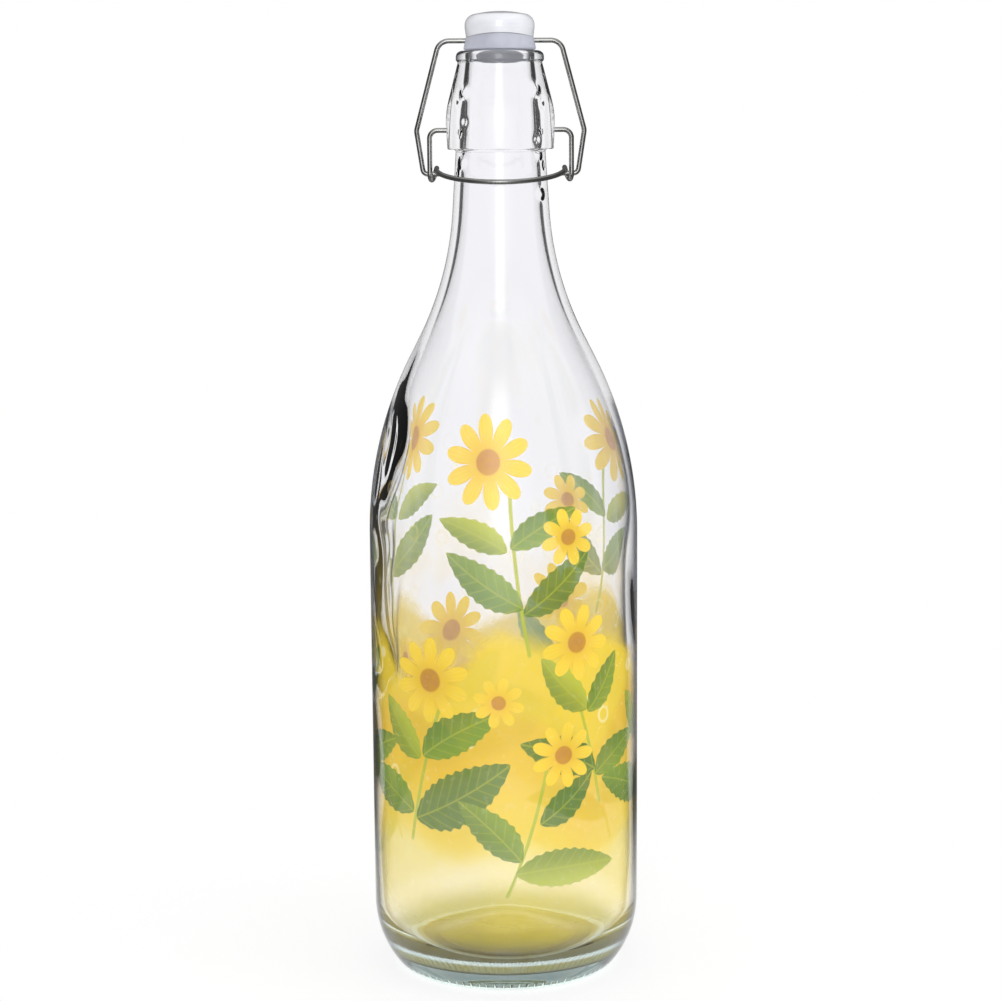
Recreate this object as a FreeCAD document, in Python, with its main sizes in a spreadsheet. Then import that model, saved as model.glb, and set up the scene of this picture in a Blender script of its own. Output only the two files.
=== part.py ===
import FreeCAD, Part
import math
import os
from collections import namedtuple

import Sketcher
from FreeCAD import Placement, Rotation, Vector

# Driving sizes, in millimetres and degrees. The bottle stands on z = 0 with its axis on Z,
# the lever's ring faces -Y and the pivots lie on X.
SIZES = [
    ("body_radius", 44.0, "outside of the straight body"),
    ("rim_height", 301.0, "top of the glass above the table"),
    ("wall", 2.8, "glass of the body"),
    ("shoulder_wall", 3.1, "glass where the shoulder meets the neck, measured across"),
    ("punt_height", 5.0, "push-up under the base"),
    ("punt_flat", 12.0, "radius of the level middle of the push-up"),
    ("punt_round", 30.0, "rounding between the push-up's middle and its slope"),
    ("ring_width", 6.8, "bearing ring with its rounded outer edge"),
    ("ring_round", 1.2, "inner edge of the bearing ring"),
    ("heel_inset", 8.2, "how far the heel draws in from the body"),
    ("heel_rise", 10.5, "height of the heel's corner before rounding"),
    ("heel_arc", 32.0, "rounding from the body into the heel"),
    ("toe_round", 3.5, "rounding from the heel onto the bearing ring"),
    ("floor_glass", 6.0, "glass above the push-up"),
    ("valley_inset", 10.2, "from the inside wall to the lowest ring of the floor"),
    ("valley_height", 6.5, "lowest ring of the floor above the table"),
    ("valley_round", 5.0, "rounding of that ring"),
    ("inner_heel_rise", 14.0, "height of the inner heel's corner before rounding"),
    ("inner_heel_arc", 16.0, "rounding of the inner heel"),
    ("shoulder_slope", 1.9556, "rise of the shoulder for each millimetre that it draws in"),
    ("shoulder_arc", 128.0, "rounding from the body into the shoulder"),
    ("neck_drop", 72.0, "from the rim down to the neck's corner"),
    ("neck_flare", 2.6, "how much wider than the neck its corner with the shoulder is"),
    ("neck_arc", 104.0, "rounding from the shoulder into the neck"),
    ("neck_radius", 14.4, "neck just under the finish"),
    ("finish_height", 31.1, "from the finish's lower lip to the rim"),
    ("under_lip_round", 0.8, "hollow corner under the lip"),
    ("lip_step", 2.65, "how far the lip stands out from the neck"),
    ("lip_round", 0.5, "rounding of the lower edge"),
    ("finish_swell", 0.65, "how far the barrel's corner stands out from the lip"),
    ("finish_drop", 19.9, "from the rim down to that corner"),
    ("finish_arc", 30.0, "rounding of the barrel"),
    ("rim_wall", 4.6, "glass at the rim's bead before rounding"),
    ("rim_round", 1.9, "rounding of the rim"),
    ("bead_height", 3.6, "from the rim down to the foot of its bead"),
    ("bead_step", 0.6, "how far the bead stands out"),
    ("bead_round", 0.5, "roundings at the bead's foot"),
    ("mouth_radius", 9.5, "bore at the mouth"),
    ("mouth_bevel", 0.8, "flare of the mouth's edge"),
    ("film_gap", 0.05, "ink bond between the glass and the print"),
    ("film_thickness", 0.15, "printed film"),
    ("film_low", 8.0, "lower edge of the print"),
    ("film_drop", 80.0, "from the rim down to the print's upper edge"),
    ("wire_diameter", 1.6, "closure wire"),
    ("wire_play", 0.1, "clearance round the wire in a drilled hole"),
    ("pivot_drop", 25.0, "from the rim down to the lever's pivots"),
    ("pivot_depth", 3.2, "how deep the pivot pins reach below the barrel's corner"),
    ("socket_extra", 0.5, "room beyond a pivot pin's tip"),
    ("socket_seat", 1.6, "length of the socket's straight part"),
    ("socket_mouth", 2.1, "radius of the socket at the barrel's corner"),
    ("leg_reach", 5.1, "from the barrel's corner out to the lever's legs"),
    ("leg_bend", 2.6, "bend between a pivot pin and its leg"),
    ("eye_drop", 13.9, "from the pivots down to the eyes"),
    ("eye_play", 0.3, "clearance round the bail's pin in an eye"),
    ("eye_side_gap", 0.6, "gap between the leg and the ring where they pass"),
    ("ring_run", 2.0, "straight wire between an eye and the ring"),
    ("ring_tilt", 10.4, "slope of the ring down towards the front"),
    ("bail_side_gap", 0.5, "gap between the bail's foot and the lever's leg"),
    ("bail_pin", 5.9, "how far a bail pin reaches in from its foot"),
    ("bail_spread", 2.1, "how far the bail widens above its feet"),
    ("bail_wide_rise", 13.8, "height of the bail's widest point above its pins"),
    ("bail_top_reach", 8.25, "from the cap's side out to the bail's top corner"),
    ("foot_bend", 1.7, "bend at the bail's foot"),
    ("side_bend", 3.5, "bend at the bail's widest point"),
    ("top_bend", 4.0, "bend at the bail's top corner"),
    ("crossbar_rise", 3.2, "the bail's crossbar above the rim"),
    ("cap_rise", 12.4, "top of the cap above the rim"),
    ("cap_radius", 11.15, "widest part of the cap"),
    ("cap_shoulder", 5.2, "from the cap's top down to its widest part"),
    ("cap_dome", 1.4, "crown of the cap's top"),
    ("cap_flat", 3.2, "radius of the crown's corner before rounding"),
    ("crown_round", 30.0, "rounding of the crown"),
    ("cap_round", 3.5, "rounding of the cap's upper edge"),
    ("cap_taper", 0.4, "how much narrower the cap's lower edge is"),
    ("cap_clearance", 0.2, "from the crossbar up to the cap's lower edge"),
    ("arch_radius", 48.0, "arch of the cap's lower edge"),
    ("plug_wall", 3.1, "seal between the cap's stem and the plug's widest part"),
    ("stem_depth", 2.0, "how far the stem reaches below the rim"),
    ("seat_gap", 0.05, "assembly gap between cap and seal"),
    ("seal_gap", 0.3, "seal above the rim"),
    ("seal_inset", 0.2, "how far the seal's top lies in from the cap's lower edge"),
    ("seal_flare", 1.15, "how much the seal widens down to its edge"),
    ("seal_round", 0.5, "rounding of the flared edge"),
    ("plug_clearance", 0.9, "room round the plug at the mouth"),
    ("plug_taper", 2.5, "how much the plug narrows to its tip"),
    ("plug_depth", 4.8, "how far the plug reaches below the rim"),
    ("plug_round", 1.2, "rounding of the plug's tip"),
]

# Radii, heights and places that follow from the driving sizes.
NECK_CORNER = "(dims.neck_radius + dims.neck_flare)"
LIP_RADIUS = "(dims.neck_radius + dims.lip_step)"
FINISH_RADIUS = f"({LIP_RADIUS} + dims.finish_swell)"
RIM_RADIUS = "(dims.mouth_radius + dims.rim_wall)"
CAP_BASE = "(dims.cap_radius - dims.cap_taper)"
SEAL_TOP = f"({CAP_BASE} - dims.seal_inset)"
SEAL_FLANGE = f"({SEAL_TOP} + dims.seal_flare)"
PLUG_RADIUS = "(dims.mouth_radius - dims.plug_clearance)"
PLUG_TIP_RADIUS = f"({PLUG_RADIUS} - dims.plug_taper)"
STEM_RADIUS = f"({PLUG_RADIUS} - dims.plug_wall)"
NECK_UP = "(dims.rim_height - dims.neck_drop)"
BEAD_UP = "(dims.rim_height - dims.bead_height)"
SHOULDER_UP = f"({NECK_UP} - dims.shoulder_slope * (dims.body_radius - {NECK_CORNER}))"
LIP_UP = "(dims.rim_height - dims.finish_height)"
PIVOT_UP = "(dims.rim_height - dims.pivot_drop)"
EYE_UP = "(dims.rim_height - dims.pivot_drop - dims.eye_drop)"
CROSSBAR_UP = "(dims.rim_height + dims.crossbar_rise)"
CAP_TOP = "(dims.rim_height + dims.cap_rise)"
CAP_EDGE_UP = f"({CROSSBAR_UP} + dims.wire_diameter / 2 + dims.cap_clearance)"
ARCH_SAG = f"(dims.arch_radius - sqrt(dims.arch_radius ^ 2 - {CAP_BASE} ^ 2))"
ARCH_TOP = f"({CAP_EDGE_UP} + {ARCH_SAG})"
STEM_TIP = "(dims.rim_height - dims.stem_depth)"
SEAL_LOW = "(dims.rim_height + dims.seal_gap)"
PLUG_TIP = "(dims.rim_height - dims.plug_depth)"
HOLE_RADIUS = "(dims.wire_diameter / 2 + dims.wire_play)"
EYE_RADIUS = "(dims.wire_diameter + dims.eye_play)"
LEG_SIDE = f"({FINISH_RADIUS} + dims.leg_reach)"
RING_SIDE = f"({LEG_SIDE} - dims.wire_diameter - dims.eye_side_gap)"
PIN_TIP = f"({FINISH_RADIUS} - dims.pivot_depth)"
FOOT_SIDE = f"({LEG_SIDE} + dims.wire_diameter + dims.bail_side_gap)"
BAIL_RISE = f"({CROSSBAR_UP} - {EYE_UP})"
BAIL_LENGTH = f"sqrt({BAIL_RISE} ^ 2 + {EYE_RADIUS} ^ 2)"

Corner = namedtuple("Corner", "across up rounding", defaults=[None])

doc = FreeCAD.newDocument("swing_top_bottle")
sheet = doc.addObject("Spreadsheet::Sheet", "dims")


def fill_sheet():
    """Write the driving sizes, each with its meaning and its alias."""
    for row, (alias, size, meaning) in enumerate(SIZES, start=1):
        sheet.set(f"A{row}", meaning)
        sheet.set(f"B{row}", str(size))
        sheet.setAlias(f"B{row}", alias)
    doc.recompute()


def number(expression):
    """What an expression on the sheet comes to."""
    return float(sheet.evalExpression(expression))


def new_body(name):
    return doc.addObject("PartDesign::Body", name)


def new_sketch(body, name, plane, up=None, out=None):
    """A sketch on one of the body's own planes, raised in it or moved off it by an expression."""
    sketch = body.newObject("Sketcher::SketchObject", name)
    support = [item for item in body.Origin.OriginFeatures if item.Role == plane][0]
    sketch.AttachmentSupport = [(support, "")]
    sketch.MapMode = "FlatFace"
    if up:
        sketch.setExpression("AttachmentOffset.Base.y", up)
    if out:
        sketch.setExpression("AttachmentOffset.Base.z", out)
    return sketch


def bind(sketch, constraint, expression):
    index = sketch.addConstraint(constraint)
    sketch.setExpression(f"Constraints[{index}]", expression)


def place_point(sketch, geometry, end, corner):
    """Tie a point to its two expressions, or to an axis where the expression is zero."""
    if corner.across == "0":
        sketch.addConstraint(Sketcher.Constraint("PointOnObject", geometry, end, -2))
    else:
        across = Sketcher.Constraint("DistanceX", -1, 1, geometry, end, number(corner.across))
        bind(sketch, across, corner.across)
    if corner.up == "0":
        sketch.addConstraint(Sketcher.Constraint("PointOnObject", geometry, end, -1))
    else:
        up = Sketcher.Constraint("DistanceY", -1, 1, geometry, end, number(corner.up))
        bind(sketch, up, corner.up)


def rounding_of(before, point, after, radius):
    """Start, end and centre of the arc that rounds a corner."""
    back = (before - point).normalize()
    ahead = (after - point).normalize()
    half = back.getAngle(ahead) / 2
    reach = radius / math.tan(half)
    middle = (back + ahead).normalize()
    return point + back * reach, point + ahead * reach, point + middle * (radius / math.sin(half))


def draw_outline(sketch, corners, closed=True):
    """Straight lines through the corners, with a tangent arc at each rounded one."""
    points = [Vector(number(corner.across), number(corner.up), 0) for corner in corners]
    count = len(corners)
    arcs = {}
    for i, corner in enumerate(corners):
        if corner.rounding:
            arcs[i] = rounding_of(points[i - 1], points[i], points[(i + 1) % count],
                                  number(corner.rounding))
    lines = []
    for i in range(count if closed else count - 1):
        after = (i + 1) % count
        start = arcs[i][1] if i in arcs else points[i]
        end = arcs[after][0] if after in arcs else points[after]
        lines.append(sketch.addGeometry(Part.LineSegment(start, end)))
    for i, corner in enumerate(corners):
        if i in arcs:
            add_rounding(sketch, lines[i - 1], lines[i], arcs[i], points[i], corner)
            continue
        if closed or 0 < i < count - 1:
            sketch.addConstraint(Sketcher.Constraint("Coincident", lines[i - 1], 2, lines[i], 1))
        if i < len(lines):
            place_point(sketch, lines[i], 1, corner)
        else:
            place_point(sketch, lines[i - 1], 2, corner)


def add_rounding(sketch, line_in, line_out, arc, point, corner):
    """Add one corner's arc, tangent to both of its lines, and hold the corner itself."""
    start, end, centre = arc
    radius = number(corner.rounding)
    turns_left = (point - start).cross(end - point).z > 0
    first, last = (start, end) if turns_left else (end, start)
    first_angle = math.atan2(first.y - centre.y, first.x - centre.x)
    last_angle = math.atan2(last.y - centre.y, last.x - centre.x)
    circle = Part.Circle(centre, Vector(0, 0, 1), radius)
    curve = sketch.addGeometry(Part.ArcOfCircle(circle, first_angle, last_angle))
    entry, leave = (1, 2) if turns_left else (2, 1)
    sketch.addConstraint(Sketcher.Constraint("Tangent", line_in, 2, curve, entry))
    sketch.addConstraint(Sketcher.Constraint("Tangent", curve, leave, line_out, 1))
    bind(sketch, Sketcher.Constraint("Radius", curve, radius), corner.rounding)
    mark = sketch.addGeometry(Part.Point(point), True)
    sketch.addConstraint(Sketcher.Constraint("PointOnObject", mark, 1, line_in))
    sketch.addConstraint(Sketcher.Constraint("PointOnObject", mark, 1, line_out))
    place_point(sketch, mark, 1, corner)


def draw_circle(sketch, up, radius):
    """A circle centred on the sketch's upright axis."""
    centre = Vector(0, number(up), 0)
    circle = sketch.addGeometry(Part.Circle(centre, Vector(0, 0, 1), number(radius)))
    place_point(sketch, circle, 3, Corner("0", up))
    bind(sketch, Sketcher.Constraint("Radius", circle, number(radius)), radius)


def turn(body, name, kind, sketch, axis="V_Axis"):
    """Revolve a sketch about one of its own axes, to add or to cut."""
    feature = body.newObject(f"PartDesign::{kind}", name)
    feature.Profile = sketch
    feature.ReferenceAxis = (sketch, [axis])
    feature.Angle = 360
    sketch.Visibility = False
    doc.recompute()
    return feature


def cut_through(body, name, sketch, span):
    """Cut a sketch right through, evenly to both sides of its plane."""
    before = body.Shape.Volume
    pocket = body.newObject("PartDesign::Pocket", name)
    pocket.Profile = sketch
    pocket.SideType = "Symmetric"
    pocket.setExpression("Length", span)
    doc.recompute()
    if body.Shape.Volume >= before:
        raise RuntimeError(f"{name} cuts nothing")
    return pocket


def outside_corners(extra):
    """The bottle's outside from the base's middle to the rim's middle, moved out by extra."""
    foot = f"dims.body_radius - dims.heel_inset + {extra}"
    body = f"dims.body_radius + {extra}"
    return [
        Corner("0", "dims.punt_height"),
        Corner("dims.punt_flat", "dims.punt_height", "dims.punt_round"),
        Corner(f"{foot} - dims.ring_width", "0", "dims.ring_round"),
        Corner(foot, "0", "dims.toe_round"),
        Corner(body, "dims.heel_rise", "dims.heel_arc"),
        Corner(body, SHOULDER_UP, "dims.shoulder_arc"),
        Corner(f"{NECK_CORNER} + {extra}", NECK_UP, "dims.neck_arc"),
        Corner(f"dims.neck_radius + {extra}", LIP_UP, "dims.under_lip_round"),
        Corner(f"{LIP_RADIUS} + {extra}", LIP_UP, "dims.lip_round"),
        Corner(f"{FINISH_RADIUS} + {extra}", "dims.rim_height - dims.finish_drop", "dims.finish_arc"),
        Corner(f"{RIM_RADIUS} - dims.bead_step + {extra}", BEAD_UP, "dims.bead_round"),
        Corner(f"{RIM_RADIUS} + {extra}", f"{BEAD_UP} + dims.bead_step", "dims.bead_round"),
        Corner(f"{RIM_RADIUS} + {extra}", "dims.rim_height", "dims.rim_round"),
        Corner("0", "dims.rim_height"),
    ]


def inside_corners():
    """The bottle's inside from the floor's middle to the mouth."""
    inner = "dims.body_radius - dims.wall"
    return [
        Corner("0", "dims.punt_height + dims.floor_glass"),
        Corner("dims.punt_flat", "dims.punt_height + dims.floor_glass", "dims.punt_round"),
        Corner(f"{inner} - dims.valley_inset", "dims.valley_height", "dims.valley_round"),
        Corner(inner, "dims.inner_heel_rise", "dims.inner_heel_arc"),
        Corner(inner, f"{SHOULDER_UP} - dims.wall / 4", "dims.shoulder_arc - dims.wall"),
        Corner(f"{NECK_CORNER} - dims.shoulder_wall", NECK_UP, "dims.neck_arc + dims.wall"),
        Corner("dims.mouth_radius", "dims.rim_height - dims.mouth_bevel", "dims.mouth_bevel"),
        Corner("dims.mouth_radius + dims.mouth_bevel", "dims.rim_height"),
        Corner("0", "dims.rim_height"),
    ]


def make_outside(name, extra):
    """A solid of the bottle's outside shape, moved out by extra."""
    body = new_body(name)
    sketch = new_sketch(body, name + "_outline", "XZ_Plane")
    draw_outline(sketch, outside_corners(extra))
    turn(body, name + "_turned", "Revolution", sketch)
    return body


def make_bottle():
    """The glass: turned outside, hollow inside, with a blind pivot socket on each side."""
    body = make_outside("bottle", "0")
    inside = new_sketch(body, "inside_outline", "XZ_Plane")
    draw_outline(inside, inside_corners())
    solid_volume = body.Shape.Volume
    turn(body, "hollow", "Groove", inside)
    hollow_volume = solid_volume - body.Shape.Volume
    print(f"brimful capacity {hollow_volume / 1000:.0f} ml")
    sockets = new_sketch(body, "socket_outlines", "XZ_Plane", up=PIVOT_UP)
    tip = f"({PIN_TIP} - dims.socket_extra)"
    seat_end = f"({tip} + dims.socket_seat)"
    outer = f"({FINISH_RADIUS} + dims.wire_diameter)"
    for side in ("", "-"):
        draw_outline(sockets, [
            Corner(side + tip, "0"),
            Corner(side + tip, HOLE_RADIUS),
            Corner(side + seat_end, HOLE_RADIUS),
            Corner(side + FINISH_RADIUS, "dims.socket_mouth"),
            Corner(side + outer, "dims.socket_mouth"),
            Corner(side + outer, "0"),
        ])
    turn(body, "pivot_sockets", "Groove", sockets, axis="H_Axis")
    return body


def make_film():
    """The printed film: a thin skin round the body and shoulder, cut level at both ends."""
    outer = make_outside("film_outside", "dims.film_gap + dims.film_thickness")
    inner = make_outside("film_inside", "dims.film_gap")
    skin = doc.addObject("Part::Cut", "film_skin")
    skin.Base = outer
    skin.Tool = inner
    band = doc.addObject("Part::Cylinder", "film_band")
    band.setExpression("Radius", "2 * dims.body_radius")
    band.setExpression("Height", "dims.rim_height - dims.film_drop - dims.film_low")
    band.setExpression("Placement.Base.z", "dims.film_low")
    film = doc.addObject("Part::Common", "film")
    film.Base = skin
    film.Tool = band
    return film


def make_cap():
    """The white cap: a crowned knob with an arched lower edge and a stem drilled for the crossbar."""
    body = new_body("cap")
    knob = new_sketch(body, "knob_outline", "XZ_Plane")
    draw_outline(knob, [
        Corner("0", CAP_EDGE_UP),
        Corner(CAP_BASE, CAP_EDGE_UP),
        Corner("dims.cap_radius", f"{CAP_TOP} - dims.cap_shoulder"),
        Corner("dims.cap_radius", f"{CAP_TOP} - dims.cap_dome", "dims.cap_round"),
        Corner("dims.cap_flat", CAP_TOP, "dims.crown_round"),
        Corner("0", CAP_TOP),
    ])
    turn(body, "knob", "Revolution", knob)
    arch = new_sketch(body, "arch_outline", "XZ_Plane")
    draw_circle(arch, f"{ARCH_TOP} - dims.arch_radius", "dims.arch_radius")
    cut_through(body, "arch", arch, "4 * dims.cap_radius")
    stem = new_sketch(body, "stem_outline", "XZ_Plane")
    draw_outline(stem, [
        Corner("0", STEM_TIP),
        Corner(STEM_RADIUS, STEM_TIP, "dims.seal_round"),
        Corner(STEM_RADIUS, f"{CAP_TOP} - dims.cap_shoulder"),
        Corner("0", f"{CAP_TOP} - dims.cap_shoulder"),
    ])
    turn(body, "stem", "Revolution", stem)
    drill_crossbar(body, "cap")
    return body


def make_seal():
    """The soft seal: a flared collar and plug that sit round the cap's stem."""
    body = new_body("seal_blank")
    outline = new_sketch(body, "seal_outline", "XZ_Plane")
    bore = f"{STEM_RADIUS} + dims.seat_gap"
    draw_outline(outline, [
        Corner("0", PLUG_TIP),
        Corner(PLUG_TIP_RADIUS, PLUG_TIP, "dims.plug_round"),
        Corner(PLUG_RADIUS, SEAL_LOW),
        Corner(SEAL_FLANGE, SEAL_LOW, "dims.seal_round"),
        Corner(SEAL_TOP, ARCH_TOP),
        Corner(bore, ARCH_TOP),
        Corner(bore, f"{STEM_TIP} - dims.seat_gap"),
        Corner("0", f"{STEM_TIP} - dims.seat_gap"),
    ])
    turn(body, "collar", "Revolution", outline)
    drill_crossbar(body, "seal")
    arch = doc.addObject("Part::Cylinder", "seal_arch")
    arch.setExpression("Radius", "dims.arch_radius - dims.seat_gap")
    arch.setExpression("Height", "4 * dims.cap_radius")
    arch.Placement = Placement(Vector(0, 0, 0), Rotation(Vector(1, 0, 0), 90))
    arch.setExpression("Placement.Base.y", "2 * dims.cap_radius")
    arch.setExpression("Placement.Base.z", f"{ARCH_TOP} - dims.arch_radius")
    seal = doc.addObject("Part::Common", "seal")
    seal.Base = body
    seal.Tool = arch
    return seal


def drill_crossbar(body, name):
    """Drill the hole that the bail's crossbar turns in."""
    hole = new_sketch(body, name + "_hole_outline", "YZ_Plane")
    draw_circle(hole, CROSSBAR_UP, HOLE_RADIUS)
    cut_through(body, name + "_hole", hole, "4 * dims.cap_radius")


def make_bail():
    """The bail: one bent wire from pin to pin, over the top through the cap."""
    body = new_body("bail")
    path = new_sketch(body, "bail_path", "XZ_Plane")
    top_side = "(dims.cap_radius + dims.bail_top_reach)"
    wide_side = f"({FOOT_SIDE} + dims.bail_spread)"
    pin_tip = f"({FOOT_SIDE} - dims.bail_pin)"
    half = [
        (pin_tip, "0", None),
        (FOOT_SIDE, "0", "dims.foot_bend"),
        (wide_side, "dims.bail_wide_rise", "dims.side_bend"),
        (top_side, BAIL_LENGTH, "dims.top_bend"),
    ]
    left = [Corner("-" + across, up, rounding) for across, up, rounding in half]
    right = [Corner(across, up, rounding) for across, up, rounding in reversed(half)]
    draw_outline(path, left + right, closed=False)
    section = new_sketch(body, "bail_section", "YZ_Plane", out="-" + pin_tip)
    draw_circle(section, "0", "dims.wire_diameter / 2")
    pipe = body.newObject("PartDesign::AdditivePipe", "bail_bent")
    pipe.Profile = section
    pipe.Spine = path
    lean = f"asin({EYE_RADIUS} / {BAIL_LENGTH})"
    body.Placement = Placement(Vector(0, 0, 0), Rotation(Vector(1, 0, 0), number(lean)))
    body.setExpression("Placement.Rotation.Angle", lean)
    body.setExpression("Placement.Base.y", EYE_RADIUS)
    body.setExpression("Placement.Base.z", EYE_UP)
    return body


def biarc(start, start_way, end, end_way):
    """Two arcs that join two points and keep their directions."""
    across = end - start
    ways = start_way + end_way
    straightness = 2 * (1 - start_way.dot(end_way))
    along = across.dot(ways)
    reach = (math.sqrt(along ** 2 + straightness * across.dot(across)) - along) / straightness
    middle = (start + end + (start_way - end_way) * reach) * 0.5
    return [arc_from(start, start_way, middle), arc_from(end, end_way * -1, middle)]


def arc_from(start, way, end):
    """The arc that leaves a point in a direction and ends at another point."""
    chord = end - start
    inward = (chord - way * chord.dot(way)).normalize()
    radius = chord.dot(chord) / (2 * chord.dot(inward))
    centre = start + inward * radius
    halfway = centre + ((start + end) * 0.5 - centre).normalize() * radius
    return Part.Arc(start, halfway, end).toShape()


def lever_half():
    """Edges of the lever's wire on +X, from the pivot pin's tip to the ring's widest point."""
    pivot_up = number(PIVOT_UP)
    eye_up = number(EYE_UP)
    eye = number(EYE_RADIUS)
    leg = number(LEG_SIDE)
    ring = number(RING_SIDE)
    bend = number("dims.leg_bend")
    tilt = math.radians(number("dims.ring_tilt"))
    forward = Vector(0, -math.cos(tilt), -math.sin(tilt))
    pin_tip = Vector(number(PIN_TIP), 0, pivot_up)
    pin_end = Vector(leg - bend, 0, pivot_up)
    leg_top = Vector(leg, 0, pivot_up - bend)
    edges = [
        Part.LineSegment(pin_tip, pin_end).toShape(),
        arc_from(pin_end, Vector(1, 0, 0), leg_top),
        Part.LineSegment(leg_top, Vector(leg, 0, eye_up)).toShape(),
    ]
    spans = 4
    full_turn = 1.5 * math.pi + tilt

    def on_eye(share):
        turned = full_turn * share
        eased = share * share * (3 - 2 * share)
        slope = 6 * share * (1 - share) / full_turn
        point = Vector(leg + (ring - leg) * eased, eye - eye * math.cos(turned),
                       eye_up - eye * math.sin(turned))
        way = Vector((ring - leg) * slope, eye * math.sin(turned), -eye * math.cos(turned))
        return point, way.normalize()

    for i in range(spans):
        edges += biarc(*on_eye(i / spans), *on_eye((i + 1) / spans))
    run_start = on_eye(1)[0]
    run_end = run_start + forward * number("dims.ring_run")
    edges.append(Part.LineSegment(run_start, run_end).toShape())
    return edges, pin_tip, run_end, forward


def least_self_gap(wire, diameter):
    """Least clear gap between stretches of a wire that are not neighbours along it."""
    step = diameter / 4
    points = wire.discretize(Distance=step)
    apart = int(3 * diameter / step)
    nearest = min((points[i] - points[j]).Length
                  for i in range(len(points)) for j in range(i + apart, len(points)))
    return nearest - diameter


def make_lever():
    """The lever: one wire from pivot pin to pivot pin, with an eye on each side and a ring in front."""
    right, pin_tip, run_end, forward = lever_half()
    left = [edge.mirror(Vector(0, 0, 0), Vector(1, 0, 0)) for edge in right]
    front = Vector(0, run_end.y, run_end.z) + forward * run_end.x
    far_end = Vector(-run_end.x, run_end.y, run_end.z)
    ring = Part.Arc(run_end, front, far_end).toShape()
    path = Part.Wire(Part.__sortEdges__(right + [ring] + left))
    diameter = number("dims.wire_diameter")
    section = Part.Wire(Part.makeCircle(diameter / 2, pin_tip, Vector(1, 0, 0)))
    lever = doc.addObject("Part::Feature", "lever")
    lever.Shape = path.makePipeShell([section], True, False)
    expected = math.pi * diameter ** 2 / 4 * path.Length
    print(f"lever wire {path.Length:.1f} mm, volume {lever.Shape.Volume:.1f} of {expected:.1f} mm3")
    print(f"lever least gap to itself {least_self_gap(path, diameter):.2f} mm")
    return lever


def check(subparts):
    """Stop if anything failed or came out empty or invalid."""
    for item in doc.Objects:
        if "Invalid" in item.State or "Error" in item.State:
            raise RuntimeError(f"{item.Name} failed: {item.State}")
    for name, item in subparts.items():
        shape = item.Shape
        if shape.isNull() or not shape.isValid() or len(shape.Solids) != 1:
            raise RuntimeError(f"{name} is not one valid solid")


def main():
    fill_sheet()
    subparts = {
        "glass_bottle": make_bottle(),
        "printed_film": make_film(),
        "stopper_cap": make_cap(),
        "stopper_seal": make_seal(),
        "bail_wire": make_bail(),
        "lever_wire": make_lever(),
    }
    for name, item in subparts.items():
        item.Label = name
    doc.recompute()
    check(subparts)
    os.makedirs("parts", exist_ok=True)
    for name, item in subparts.items():
        item.Shape.exportStep(f"parts/{name}.step")
        box = item.Shape.optimalBoundingBox()
        print(f"{name}: {item.Shape.Volume:.1f} mm3, x {box.XMin:.2f} {box.XMax:.2f}, "
              f"y {box.YMin:.2f} {box.YMax:.2f}, z {box.ZMin:.2f} {box.ZMax:.2f}")


main()
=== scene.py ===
import math

import bmesh
import bpy
import numpy as np
from bpy.props import FloatProperty, FloatVectorProperty, IntProperty, PointerProperty
from mathutils import Matrix, Vector


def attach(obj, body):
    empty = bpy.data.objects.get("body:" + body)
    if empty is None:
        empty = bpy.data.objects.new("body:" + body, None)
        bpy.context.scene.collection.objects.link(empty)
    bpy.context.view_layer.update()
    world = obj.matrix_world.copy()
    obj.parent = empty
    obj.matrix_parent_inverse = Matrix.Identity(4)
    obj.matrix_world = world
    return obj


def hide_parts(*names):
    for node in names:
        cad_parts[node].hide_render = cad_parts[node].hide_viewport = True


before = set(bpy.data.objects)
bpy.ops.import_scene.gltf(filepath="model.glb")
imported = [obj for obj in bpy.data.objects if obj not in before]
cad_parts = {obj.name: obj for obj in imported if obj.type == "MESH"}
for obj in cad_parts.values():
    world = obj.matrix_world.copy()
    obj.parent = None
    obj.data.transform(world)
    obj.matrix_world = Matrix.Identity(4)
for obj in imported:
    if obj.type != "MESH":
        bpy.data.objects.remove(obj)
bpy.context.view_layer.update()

bl_info = {
    "name": "Swing top bottle",
    "version": (1, 0, 0),
    "blender": (4, 5, 0),
    "location": "View3D > Sidebar > Bottle",
    "description": "Clear glass bottle with a printed film and a wire swing top closure",
    "category": "Object",
}

MM = 0.001
BODY_RADIUS = 44.0

# Outline corners in millimetres: radius, height and rounding.
GLASS_OUTSIDE = [
    (0, 5, 0), (12, 5, 30), (29, 0, 1.2), (35.8, 0, 3.5), (44, 10.5, 32), (44, 176.2, 128),
    (17, 229, 104), (14.4, 269.9, 0.8), (17.05, 269.9, 0.5), (17.7, 281.1, 30), (13.5, 297.4, 0.5),
    (14.1, 298, 0.5), (14.1, 301, 1.9),
]
GLASS_INSIDE = [
    (10.3, 301, 0), (9.5, 300.2, 0.8), (13.9, 229, 106.8), (41.2, 175.5, 125.2), (41.2, 14, 16),
    (31, 6.5, 5), (12, 11, 30), (0, 11, 0),
]
SOCKET_HEIGHT = 276.0
SOCKET_OUTLINE = [(13.99, 0.9), (15.6, 0.9), (17.7, 2.1), (19.3, 2.1)]
# Dents in the neck's inner wall: turn in degrees, height, size and depth.
NECK_MARKS = [
    (-66, 287.0, 1.5, 0.7), (-80, 284.0, 1.0, -0.45), (-68, 265.5, 1.6, 0.6), (-84, 262.0, 1.2, -0.4),
    (64, 288.0, 1.8, 0.8), (80, 283.5, 1.3, -0.5), (68, 268.0, 1.3, 0.6), (84, 264.5, 1.0, -0.45),
    (66, 255.5, 1.4, 0.8), (-60, 278.5, 1.0, -0.4), (60, 273.0, 1.1, -0.4),
]
# The dented stretch of the neck's inner wall: its heights and its largest radius.
DENTED_HEIGHTS = (250.0, 292.0)
DENTED_RADIUS = 14.0
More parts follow.
